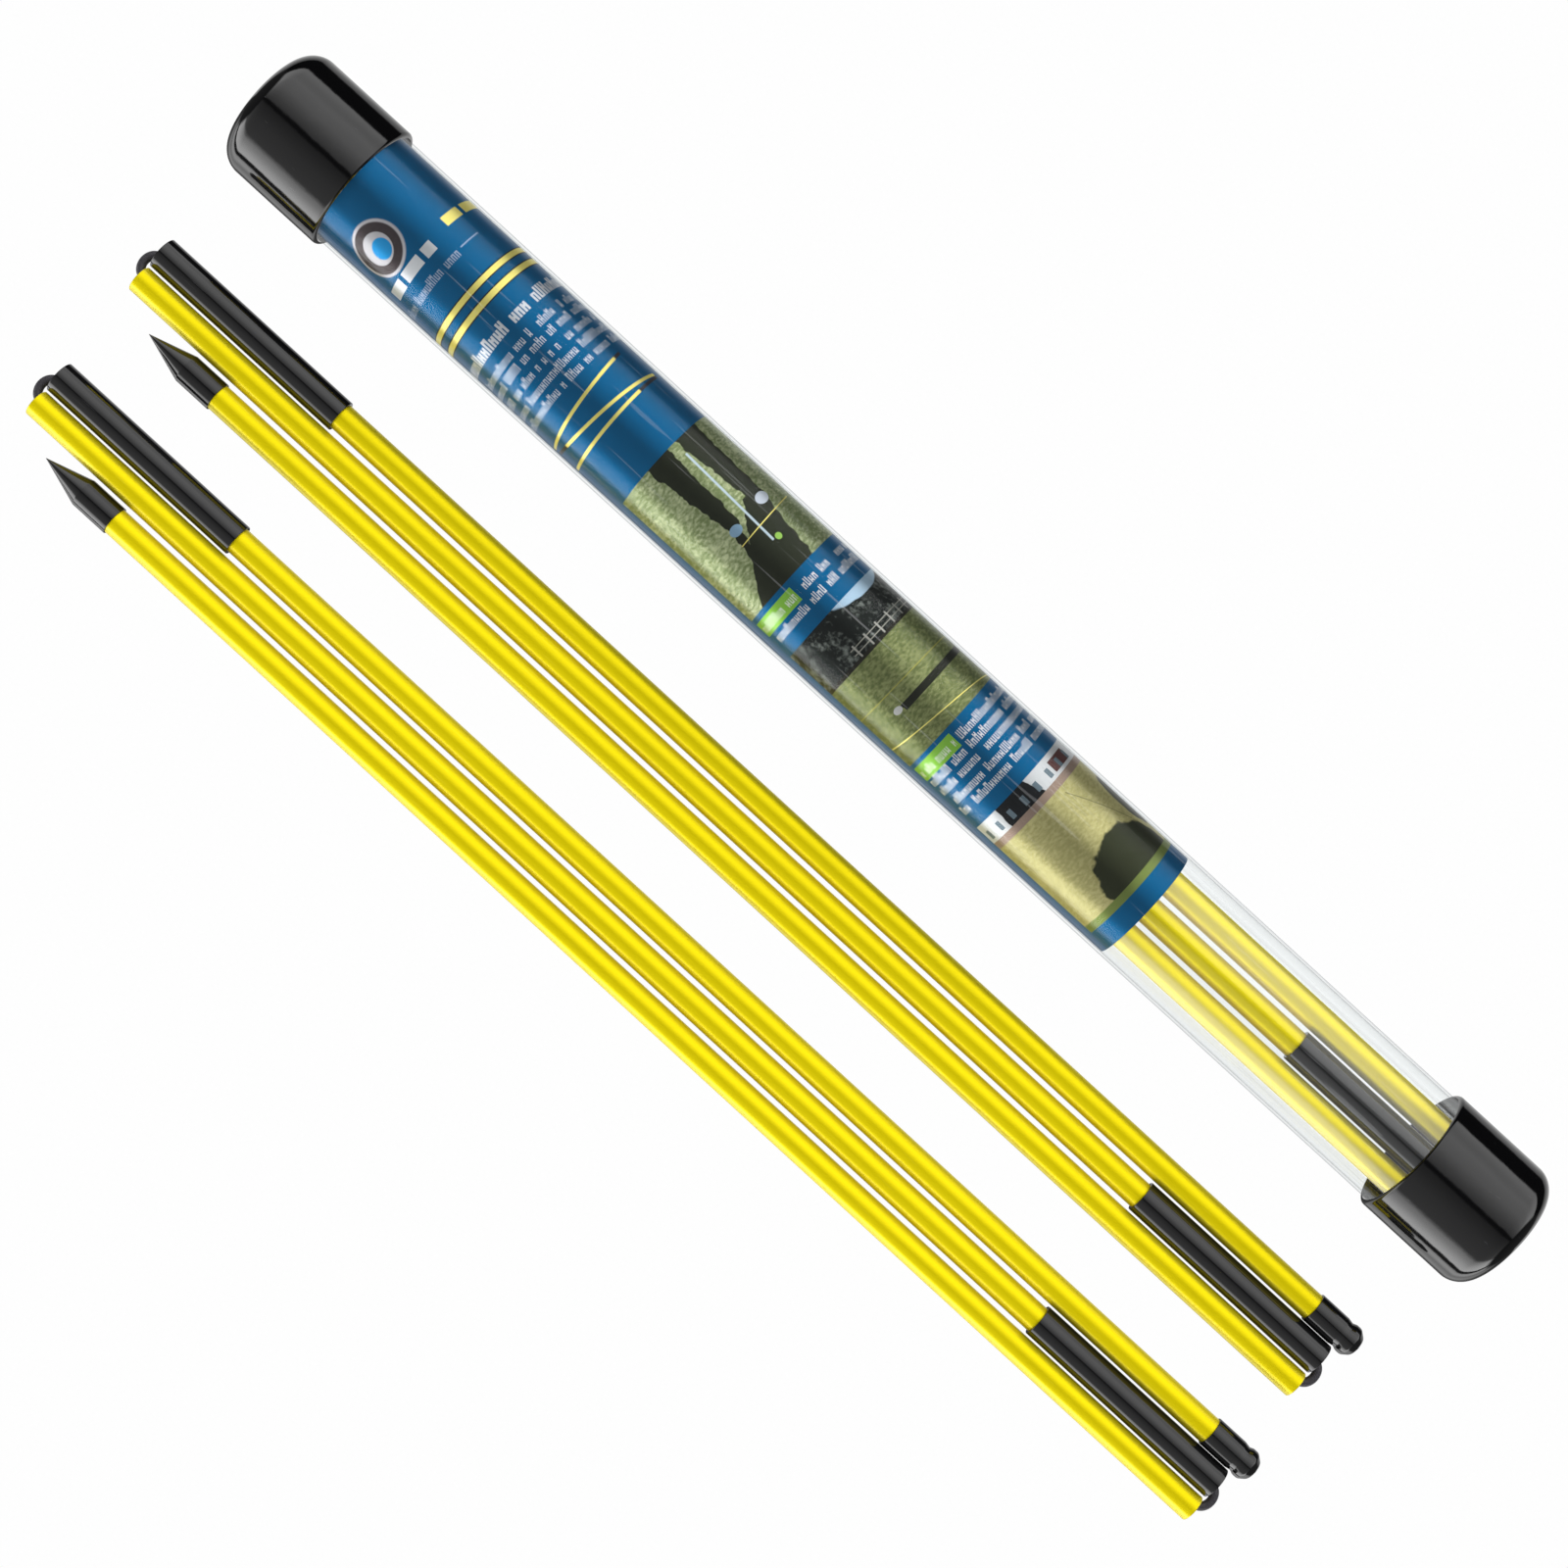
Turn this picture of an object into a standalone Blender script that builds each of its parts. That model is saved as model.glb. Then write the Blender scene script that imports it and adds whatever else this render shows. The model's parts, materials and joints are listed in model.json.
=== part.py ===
"""A set of folding golf alignment sticks with its storage tube, lying on a flat surface.

Each stick is three hollow rods strung on one elastic cord. It folds side by side in a flat
bundle, and each rod's open end plugs into the next rod's ferrule to make one straight stick.
Sticks 1 and 2 lie beside the tube. Stick 3 lies in the tube, under a printed insert.

X runs along the tube and the rods, Z is up, and the set rests on z = 0. The origin is under the
middle of the set's box. All sizes are in metres.
"""

import math

import bpy

# Rods, ferrules and cord
ROD_LENGTH = 0.405
ROD_RADIUS = 0.0040
ROD_BORE = 0.0028
FERRULE_LENGTH = 0.066
FERRULE_RADIUS = 0.0048
FERRULE_BORE = 0.00415
SOCKET_DEPTH = 0.0305  # how far a rod's open end plugs into a ferrule
ROD_SPACING = 0.00935  # between neighbouring rods' axes in a folded stick
CORD_RADIUS = 0.0013
CORD_REACH = 0.0022  # how far a bend's centre line stands beyond the rods' ends
CORD_HALF_WIDTH = 0.00345  # from a bend's middle to each of its legs
CORD_LEG = 0.012  # how far a bend goes into a rod's open end
CORD_TURN_INSET = 0.0006  # how far inside the rods' ends a bend starts to turn

# Pointed tip and end cap
TIP_RADIUS = 0.0044
TIP_CONE = 0.0141
TIP_SLEEVE = 0.0115
TIP_GRIP = 0.00725  # how much of the rod is in the tip
END_CAP_RADIUS = 0.00425
END_CAP_BORE = 0.0041
END_CAP_GRIP = 0.011  # how much of the rod is in the end cap
END_CAP_BULB = 0.0059
END_CAP_NECK = 0.0025  # from the rod's end to where the bulb starts to close
END_CAP_FULLNESS = 0.7  # 1 is a round bulb, and less is a blunter one
END_CAP_WAIST = 0.0003  # how much slimmer the waist is
END_CAP_SHOULDER = 0.0012  # from the rod's end back to full width
KNOT_RADIUS = 0.0031
KNOT_END_RADIUS = 0.0019
KNOT_LENGTH = 0.0036
KNOT_TAPER = 0.0010
KNOT_ROOM = 0.0050
KNOT_ROOM_ACROSS = 0.0001
KNOT_OFFSET = 0.0005  # from the rod's end
KNOT_SIDES = 8

# Storage tube, its caps and its insert
SET_LENGTH = 0.4510
TUBE_RADIUS = 0.0179
TUBE_WALL = 0.0007
CAP_RADIUS = 0.01945
CAP_WALL = 0.0012
CAP_END_WALL = 0.0009  # of its closed end
CAP_LENGTH = 0.0361
CAP_CORNER = 0.0065
CAP_DOME = 0.090
CAP_RIM = 0.0004  # chamfer at a cap's mouth
TUBE_END_ROOM = 0.0090  # from a cap's closed end to the tube's end
INSERT_WALL = 0.0003
INSERT_LEFT = -0.2160
INSERT_RIGHT = 0.0930

# Where the sticks lie
STICK_1_TO_2 = 0.0438
STICK_2_TO_TUBE = 0.0583
STICK_1_LEFT = -0.2199
STICK_2_LEFT = -0.2220
STICK_3_LEFT = -0.2204
STICK_3_DROP = 0.0048  # below the tube's axis

GAP = 0.0003  # between pieces that touch
STICK_SIDES = 16
TUBE_SIDES = 32
MERGE = 0.00001

# Worked out from the above
SPAN = ROD_LENGTH + SOCKET_DEPTH  # a folded stick, between its rods' ends
FOLD_REACH = 0.0018  # a fold's axis, beyond the rods' ends
CORD_FERRULE_LEG = SOCKET_DEPTH - CORD_LEG - GAP  # how far a bend goes into a ferrule


def flat_radius(radius, sides):
    """From the axis to the middle of a flat side."""
    return radius * math.cos(math.pi / sides)


STICK_HEIGHT = flat_radius(FERRULE_RADIUS, STICK_SIDES)
TUBE_HEIGHT = flat_radius(CAP_RADIUS, TUBE_SIDES)
SET_WIDTH = (
    TUBE_HEIGHT + STICK_2_TO_TUBE + STICK_1_TO_2 + ROD_SPACING + flat_radius(TIP_RADIUS, STICK_SIDES)
)
TUBE_Y = SET_WIDTH / 2 - TUBE_HEIGHT
STICK_2_Y = TUBE_Y - STICK_2_TO_TUBE
STICK_1_Y = STICK_2_Y - STICK_1_TO_2


def clear_scene():
    for thing in list(bpy.data.objects):
        bpy.data.objects.remove(thing, do_unlink=True)


def new_material(name, colour, roughness, metallic=0.0, transmission=0.0):
    """A plain Principled material."""
    material = bpy.data.materials.new(name)
    material.use_nodes = True
    shader = material.node_tree.nodes["Principled BSDF"]
    shader.inputs["Base Color"].default_value = (*colour, 1.0)
    shader.inputs["Roughness"].default_value = roughness
    shader.inputs["Metallic"].default_value = metallic
    shader.inputs["Transmission Weight"].default_value = transmission
    material.diffuse_color = (*colour, 1.0)
    return material


def place(thing, parent, location):
    """Put an object in the set's collection, at a place under its parent."""
    thing.parent = parent
    thing.location = location
    bpy.data.collections["folding_alignment_sticks"].objects.link(thing)
    return thing


def empty(name, parent, location):
    thing = bpy.data.objects.new(name, None)
    thing.empty_display_size = 0.01
    return place(thing, parent, location)


def turned(name, outline, sides, material, parent, location=(0, 0, 0), ring=False):
    """A shape turned about its X axis, with flat sides facing up and down.

    The outline is (x, radius) points along the outer side towards -X, then back inside towards +X.
    """
    half_side = math.pi / sides
    points = [(x, r * math.cos(half_side), r * math.sin(half_side)) for x, r in outline]
    count = len(points)
    edges = [(i, (i + 1) % count) for i in range(count if ring else count - 1)]
    mesh = bpy.data.meshes.new(name)
    mesh.from_pydata(points, edges, [])
    mesh.materials.append(material)
    thing = bpy.data.objects.new(name, mesh)
    screw = thing.modifiers.new("turn", "SCREW")
    screw.axis = "X"
    screw.angle = math.tau
    screw.steps = screw.render_steps = sides
    screw.use_merge_vertices = True
    screw.merge_threshold = MERGE
    screw.use_smooth_shade = True
    return place(thing, parent, location)


def sleeve(name, left, right, radius, bore, sides, material, parent, location=(0, 0, 0)):
    """A straight hollow cylinder along X."""
    outline = [(right, radius), (left, radius), (left, bore), (right, bore)]
    return turned(name, outline, sides, material, parent, location, ring=True)


def cord_piece(name, points, material, parent, location=(0, 0, 0)):
    """A stretch of the cord along a list of points."""
    curve = bpy.data.curves.new(name, "CURVE")
    curve.dimensions = "3D"
    curve.bevel_depth = CORD_RADIUS
    curve.bevel_resolution = 2
    curve.use_fill_caps = True
    spline = curve.splines.new("POLY")
    spline.points.add(len(points) - 1)
    for place_in_spline, point in zip(spline.points, points):
        place_in_spline.co = (*point, 1.0)
    curve.materials.append(material)
    return place(bpy.data.objects.new(name, curve), parent, location)


def bend_route(outward):
    """The cord's U from a ferrule to the next rod's open end, about the fold's axis.

    outward is -1 or 1 along X.
    """
    mouth = -outward * FOLD_REACH
    turn_start = mouth - outward * CORD_TURN_INSET
    depth = CORD_REACH + CORD_TURN_INSET
    side = ROD_SPACING / 2
    half_way = (side + CORD_HALF_WIDTH) / 2
    in_ferrule = [
        (mouth - outward * CORD_FERRULE_LEG, side, 0),
        (mouth - outward * CORD_FERRULE_LEG / 2, half_way, 0),
    ]
    in_rod = [
        (mouth - outward * CORD_LEG / 2, -half_way, 0),
        (mouth - outward * CORD_LEG, -side, 0),
    ]
    turn = []
    steps = 8
    for i in range(steps + 1):
        angle = math.pi * i / steps
        turn.append((turn_start + outward * depth * math.sin(angle), CORD_HALF_WIDTH * math.cos(angle), 0))
    return in_ferrule + turn + in_rod


def tip_outline():
    """Pointed tip with its point at x = 0, and a stepped hole for the rod and the knot."""
    mouth = TIP_CONE + TIP_SLEEVE
    rod_end = mouth - TIP_GRIP - GAP
    return [
        (rod_end - KNOT_ROOM, 0),
        (rod_end - KNOT_ROOM, KNOT_RADIUS + GAP),
        (rod_end, KNOT_RADIUS + GAP),
        (rod_end, FERRULE_BORE),
        (mouth, FERRULE_BORE),
        (mouth, TIP_RADIUS),
        (TIP_CONE, TIP_RADIUS),
        (0, 0),
    ]


def end_cap_outline():
    """End cap with the rod's end at x = 0: a sleeve, a slight waist, a round bulb and a knot's room."""
    steps = 4
    bulb = [(END_CAP_BULB, 0)]
    for i in range(1, steps + 1):
        angle = math.radians(90 * (steps - i) / steps)
        x = END_CAP_NECK + (END_CAP_BULB - END_CAP_NECK) * math.sin(angle)
        bulb.append((x, END_CAP_RADIUS * math.cos(angle) ** END_CAP_FULLNESS))
    room_end = KNOT_OFFSET + KNOT_LENGTH + GAP
    room_radius = KNOT_RADIUS + KNOT_ROOM_ACROSS
    return bulb + [
        (GAP, END_CAP_RADIUS - END_CAP_WAIST),
        (-END_CAP_SHOULDER, END_CAP_RADIUS),
        (-END_CAP_GRIP, END_CAP_RADIUS),
        (-END_CAP_GRIP, END_CAP_BORE),
        (GAP, END_CAP_BORE),
        (GAP, room_radius),
        (room_end, room_radius),
        (room_end, 0),
    ]


def knot_outline(left):
    """A pulled-tight knot: a short barrel with tapered ends."""
    right = left + KNOT_LENGTH
    return [
        (right, 0),
        (right, KNOT_END_RADIUS),
        (right - KNOT_TAPER, KNOT_RADIUS),
        (left + KNOT_TAPER, KNOT_RADIUS),
        (left, KNOT_END_RADIUS),
        (left, 0),
    ]


def dome_side(radius, corner, dome, corner_steps):
    """A cap's closed end from its middle to its straight side, as (depth below the top, radius)."""
    middle = radius - corner
    lean = math.asin(middle / (dome - corner))
    shallow = dome - (dome - corner) * math.cos(lean)
    points = [(0.0, 0.0)]
    for share in (0.5, 1.0):
        angle = lean * share
        points.append((dome * (1 - math.cos(angle)), dome * math.sin(angle)))
    for i in range(1, corner_steps + 1):
        angle = lean + (math.pi / 2 - lean) * i / corner_steps
        points.append((shallow - corner * math.cos(angle), middle + corner * math.sin(angle)))
    return points


def tube_cap_outline():
    """Tube cap with its mouth at x = 0 and its domed closed end at x = CAP_LENGTH."""
    bore = CAP_RADIUS - CAP_WALL
    outside = dome_side(CAP_RADIUS, CAP_CORNER, CAP_DOME, corner_steps=5)
    inside = dome_side(bore, CAP_CORNER - CAP_WALL, CAP_DOME - CAP_WALL, corner_steps=4)
    outer_side = [(CAP_LENGTH - depth, radius) for depth, radius in outside]
    rim = [(CAP_RIM, CAP_RADIUS), (0, CAP_RADIUS - CAP_RIM), (0, bore)]
    inner_side = [(CAP_LENGTH - CAP_END_WALL - depth, radius) for depth, radius in reversed(inside)]
    return outer_side + rim + inner_side


def make_rod(name, left, right, materials, parent, spot):
    sleeve(name, left, right, ROD_RADIUS, ROD_BORE, STICK_SIDES, materials["rod"], parent, spot)


def make_ferrule(name, left, materials, parent, spot):
    sleeve(
        name, left, left + FERRULE_LENGTH, FERRULE_RADIUS, FERRULE_BORE, STICK_SIDES,
        materials["black_sleeve"], parent, spot,
    )


def make_end_section(name, materials, base):
    """The rod that carries the end cap, with its ferrule. Its ferrule's mouth is at x = 0."""
    spot = (0, ROD_SPACING, 0)
    cap_spot = (SPAN, ROD_SPACING, 0)
    make_rod(f"{name}_end_rod", SOCKET_DEPTH, SPAN, materials, base, spot)
    make_ferrule(f"{name}_end_ferrule", 0, materials, base, spot)
    turned(f"{name}_end_cap", end_cap_outline(), STICK_SIDES, materials["black_plastic"], base, cap_spot)
    turned(f"{name}_end_knot", knot_outline(KNOT_OFFSET), KNOT_SIDES, materials["cord"], base, cap_spot)
    run = [(CORD_FERRULE_LEG + GAP, 0, 0), (SPAN, 0, 0)]
    cord_piece(f"{name}_end_cord", run, materials["cord"], base, spot)


def make_middle_section(name, materials, fold):
    """The middle rod with its ferrule, under the fold's empty. Its open end is by the fold."""
    spot = (FOLD_REACH, -ROD_SPACING / 2, 0)
    make_rod(f"{name}_middle_rod", 0, ROD_LENGTH, materials, fold, spot)
    make_ferrule(f"{name}_middle_ferrule", SPAN - FERRULE_LENGTH, materials, fold, spot)
    run = [(CORD_LEG + GAP, 0, 0), (SPAN - CORD_FERRULE_LEG - GAP, 0, 0)]
    cord_piece(f"{name}_middle_cord", run, materials["cord"], fold, spot)


def make_point_section(name, materials, fold):
    """The rod with the pointed tip, under the other fold's empty. Its open end is by the fold."""
    spot = (-FOLD_REACH - SPAN, -ROD_SPACING / 2, 0)
    point_x = SOCKET_DEPTH + TIP_GRIP - TIP_CONE - TIP_SLEEVE
    tip_spot = (spot[0] + point_x, spot[1], 0)
    make_rod(f"{name}_point_rod", SOCKET_DEPTH, SPAN, materials, fold, spot)
    turned(f"{name}_point_tip", tip_outline(), STICK_SIDES, materials["black_plastic"], fold, tip_spot)
    knot_left = SOCKET_DEPTH - KNOT_OFFSET - KNOT_LENGTH
    turned(f"{name}_point_knot", knot_outline(knot_left), KNOT_SIDES, materials["cord"], fold, spot)
    run = [(SOCKET_DEPTH, 0, 0), (SPAN - CORD_LEG - GAP, 0, 0)]
    cord_piece(f"{name}_point_cord", run, materials["cord"], fold, spot)


def make_stick(name, materials, left, across, height):
    """One folded stick. Its end section stays, and the other two fold about upright axes."""
    base = empty(f"{name}_base", None, (left, across, height))
    end_fold = empty(f"{name}_end_fold", base, (-FOLD_REACH, ROD_SPACING / 2, 0))
    point_fold = empty(f"{name}_point_fold", end_fold, (SPAN + 2 * FOLD_REACH, -ROD_SPACING, 0))
    make_end_section(name, materials, base)
    cord_piece(f"{name}_end_bend", bend_route(-1), materials["cord"], end_fold)
    make_middle_section(name, materials, end_fold)
    cord_piece(f"{name}_point_bend", bend_route(1), materials["cord"], point_fold)
    make_point_section(name, materials, point_fold)


def make_tube(materials):
    """The clear tube, its printed insert and its two pull-off caps."""
    axis = empty("tube_axis", None, (0, TUBE_Y, TUBE_HEIGHT))
    tube_end = SET_LENGTH / 2 - TUBE_END_ROOM
    bore = TUBE_RADIUS - TUBE_WALL
    insert_radius = bore - GAP
    insert_bore = insert_radius - INSERT_WALL
    mouth = SET_LENGTH / 2 - CAP_LENGTH
    black = materials["black_plastic"]
    sleeve("tube", -tube_end, tube_end, TUBE_RADIUS, bore, TUBE_SIDES, materials["clear"], axis)
    sleeve(
        "tube_insert", INSERT_LEFT, INSERT_RIGHT, insert_radius, insert_bore, TUBE_SIDES,
        materials["print"], axis,
    )
    turned("right_cap", tube_cap_outline(), TUBE_SIDES, black, axis, (mouth, 0, 0))
    left_cap = turned("left_cap", tube_cap_outline(), TUBE_SIDES, black, axis, (-mouth, 0, 0))
    left_cap.rotation_euler = (0, 0, math.pi)


def main():
    clear_scene()
    collection = bpy.data.collections.new("folding_alignment_sticks")
    bpy.context.scene.collection.children.link(collection)
    materials = {
        "rod": new_material("yellow_rod", (0.86, 0.74, 0.01), 0.35),
        "black_sleeve": new_material("black_sleeve", (0.012, 0.012, 0.013), 0.22),
        "black_plastic": new_material("black_plastic", (0.012, 0.012, 0.012), 0.18),
        "cord": new_material("elastic_cord", (0.02, 0.02, 0.025), 0.8),
        "clear": new_material("clear_plastic", (0.96, 0.97, 0.98), 0.05, transmission=1.0),
        "print": new_material("printed_blue", (0.008, 0.10, 0.30), 0.45),
    }
    make_tube(materials)
    make_stick("stick_1", materials, STICK_1_LEFT, STICK_1_Y, STICK_HEIGHT)
    make_stick("stick_2", materials, STICK_2_LEFT, STICK_2_Y, STICK_HEIGHT)
    make_stick("stick_3", materials, STICK_3_LEFT, TUBE_Y, TUBE_HEIGHT - STICK_3_DROP)


main()
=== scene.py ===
"""The looks of a set of folding alignment sticks with its storage tube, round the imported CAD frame.

X runs along the sticks, Z is up, and the set lies on z = 0. Sizes are in metres unless a name says
otherwise. Angles round a turned piece are from its top towards +Y.
"""

import json
import math

import bmesh
import bpy
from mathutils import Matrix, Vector

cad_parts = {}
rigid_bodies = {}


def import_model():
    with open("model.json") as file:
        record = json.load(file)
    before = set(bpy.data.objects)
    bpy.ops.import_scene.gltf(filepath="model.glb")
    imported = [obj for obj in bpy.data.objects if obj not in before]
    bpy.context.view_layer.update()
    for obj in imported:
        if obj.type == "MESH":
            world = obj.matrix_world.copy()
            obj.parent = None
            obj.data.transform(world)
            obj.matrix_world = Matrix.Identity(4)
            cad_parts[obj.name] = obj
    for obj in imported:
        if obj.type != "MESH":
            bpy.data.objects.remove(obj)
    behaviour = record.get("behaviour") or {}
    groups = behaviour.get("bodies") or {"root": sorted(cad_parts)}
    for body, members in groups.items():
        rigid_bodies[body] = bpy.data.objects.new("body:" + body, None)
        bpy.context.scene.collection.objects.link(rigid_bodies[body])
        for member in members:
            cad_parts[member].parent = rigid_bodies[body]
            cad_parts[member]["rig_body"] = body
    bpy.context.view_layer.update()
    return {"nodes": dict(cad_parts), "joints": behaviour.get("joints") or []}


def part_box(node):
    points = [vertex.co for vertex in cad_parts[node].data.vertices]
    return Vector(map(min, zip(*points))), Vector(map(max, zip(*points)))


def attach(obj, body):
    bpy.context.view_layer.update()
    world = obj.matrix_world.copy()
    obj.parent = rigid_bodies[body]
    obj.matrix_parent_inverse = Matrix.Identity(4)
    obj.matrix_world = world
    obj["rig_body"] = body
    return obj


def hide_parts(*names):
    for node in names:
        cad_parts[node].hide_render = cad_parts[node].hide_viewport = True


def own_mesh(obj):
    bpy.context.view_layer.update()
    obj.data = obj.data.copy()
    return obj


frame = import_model()

STICKS = ("stick_1", "stick_2", "stick_3")
MM = 0.001
MIRRORED = ("yellow_rod", "black_ferrule", "black_tip", "black_rubber")  # slots seen in other pieces' gloss

# The CAD's turned nodes have this many flat sides, and the pieces made here have more
STICK_SIDES = 16
TUBE_SIDES = 32
STICK_STEPS = 64
TUBE_STEPS = 128
CORNER_STEPS = 5
DOME_STEPS = 14
BEND_STEPS = 24
LEG_STEPS = 6
SHARP_ANGLE = 40  # degrees: a steeper edge is not smoothed

# Rods, ferrules and cord
ROD_BORE = 0.0028
ROD_LIP = 0.00035
FERRULE_BORE = 0.00415
FERRULE_LIP = 0.00022
SOCKET_DEPTH = 0.0305
GRIP_GAP = 0.00002  # between a rod and what is pressed on it
CORD_RADIUS = 0.0013
CORD_REACH = 0.0022  # how far a bend's centre line stands beyond the rods' ends
CORD_TURN_INSET = 0.0006  # how far inside the rods' ends a bend starts to turn
CORD_HALF_WIDTH = 0.00345  # from a bend's middle to each of its legs
CORD_LEG = 0.012  # how far a bend goes into a rod
CORD_SIDES = 24

# Pointed tip and end cap
TIP_CONE = 0.0141
TIP_SHOULDER = 0.0008  # rounding where the cone meets the sleeve
TIP_POINT = 0.0005  # length of the blunt end
TIP_POINT_SLOPE = 0.36
TIP_BORE = 0.00405
END_CAP_FLOOR = 0.0003  # from the rod's end to the cap's closed end, inside
END_CAP_SLEEVE_RADIUS = 0.00445
END_CAP_SHOULDER = 0.0016  # from the rod's end back to where the sleeve starts to narrow
END_CAP_SHOULDER_ROUNDING = 0.0020
END_CAP_WAIST = 0.0002  # from the rod's end out to the narrowest place
END_CAP_WAIST_DEPTH = 0.00035
END_CAP_WAIST_ROUNDING = 0.0008
END_CAP_BULB = 0.0059
END_CAP_BULB_START = 0.0012  # from the waist to the bulb's full width
END_CAP_BULB_START_ROUNDING = 0.0014
END_CAP_BULB_RADIUS = 0.0046
END_CAP_BELLY = 0.5  # share of the bulb that closes
END_CAP_BELLY_ROUNDING = 0.0015
END_CAP_NOSE = 0.0009  # length of the blunt end
END_CAP_NOSE_WIDTH = 0.66  # of the bulb's
END_CAP_NOSE_ROUNDING = 0.0018

# Storage tube, its caps and its insert
TUBE_WALL = 0.0007
CAP_WALL = 0.0012
CAP_END_WALL = 0.0009
CAP_CORNER = 0.0065
CAP_DOME = 0.090
CAP_LIP = 0.0011
INSERT_WALL = 0.0003


def spread(node, sides):
    """A turned CAD node's left end, right end, a point on its axis and its radius."""
    low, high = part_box(node)
    middle = (low + high) / 2
    radius = (high.z - low.z) / 2 / math.cos(math.pi / sides)
    return low.x, high.x, Vector((0, middle.y, middle.z)), radius


# Mesh helpers


def rounded(points):
    """A closed outline, where a corner given as (x, radius, size) becomes an arc of that size."""
    result = []
    for i, point in enumerate(points):
        corner = Vector(point[:2])
        if len(point) == 2:
            result.append(tuple(corner))
            continue
        size = point[2]
        before = (Vector(points[i - 1][:2]) - corner).normalized()
        after = (Vector(points[(i + 1) % len(points)][:2]) - corner).normalized()
        half = before.angle(after) / 2
        middle = corner + (before + after).normalized() * size / math.sin(half)
        start = corner + before * size / math.tan(half) - middle
        first = math.atan2(start.y, start.x)
        turn = math.copysign(math.pi - 2 * half, -before.cross(after))
        for step in range(CORNER_STEPS + 1):
            angle = first + turn * step / CORNER_STEPS
            result.append(tuple(middle + size * Vector((math.cos(angle), math.sin(angle)))))
    return result


def turned(name, outline, steps, ring=False):
    """A smooth mesh turned about the X axis from an outline of (x, radius) points."""
    shape = bmesh.new()
    rows = []
    for x, radius in outline:
        if radius == 0:
            rows.append([shape.verts.new((x, 0, 0))] * steps)
            continue
        row = []
        for k in range(steps):
            angle = math.tau * k / steps
            row.append(shape.verts.new((x, radius * math.sin(angle), radius * math.cos(angle))))
        rows.append(row)
    following = rows[1:] + rows[:1] if ring else rows[1:]
    for row, next_row in zip(rows, following):
        for k in range(steps):
            after = (k + 1) % steps
            corners = dict.fromkeys((row[k], row[after], next_row[after], next_row[k]))
            shape.faces.new(list(corners))
    return smooth_mesh(name, shape)


def swept(name, route, radius, sides):
    """A round bar along a route of points at one height, with flat ends."""
    shape = bmesh.new()
    rows = []
    up = Vector((0, 0, 1))
    for i, point in enumerate(route):
        ahead = route[min(i + 1, len(route) - 1)] - route[max(i - 1, 0)]
        across = ahead.normalized().cross(up)
        row = []
        for k in range(sides):
            angle = math.tau * k / sides
            row.append(shape.verts.new(point + radius * (across * math.cos(angle) + up * math.sin(angle))))
        rows.append(row)
    for row, next_row in zip(rows, rows[1:]):
        for k in range(sides):
            after = (k + 1) % sides
            shape.faces.new((row[k], row[after], next_row[after], next_row[k]))
    shape.faces.new(rows[0])
    shape.faces.new(rows[-1])
    return smooth_mesh(name, shape)


def smooth_mesh(name, shape):
    """Turns a bmesh into a smooth mesh whose steep edges stay sharp."""
    bmesh.ops.recalc_face_normals(shape, faces=shape.faces)
    for face in shape.faces:
        face.smooth = True
    mesh = bpy.data.meshes.new(name)
    shape.to_mesh(mesh)
    shape.free()
    mesh.set_sharp_from_angle(angle=math.radians(SHARP_ANGLE))
    return mesh


def add_piece(node, mesh, centre, slot, *materials):
    """Puts a mesh in place of a CAD node, on that node's body."""
    piece = bpy.data.objects.new(f"{node}_shape", mesh)
    bpy.context.scene.collection.objects.link(piece)
    piece.location = centre
    piece.visible_glossy = slot in MIRRORED
    for material in materials:
        mesh.materials.append(material)
    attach(piece, frame["nodes"][node]["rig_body"])
    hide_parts(node)
    return piece


# Material helpers


def srgb(red, green, blue):
    """A linear colour from its 0 to 255 display values."""
    linear = []
    for value in (red, green, blue):
        share = value / 255
        linear.append(share / 12.92 if share <= 0.04045 else ((share + 0.055) / 1.055) ** 2.4)
    return (*linear, 1.0)


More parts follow.
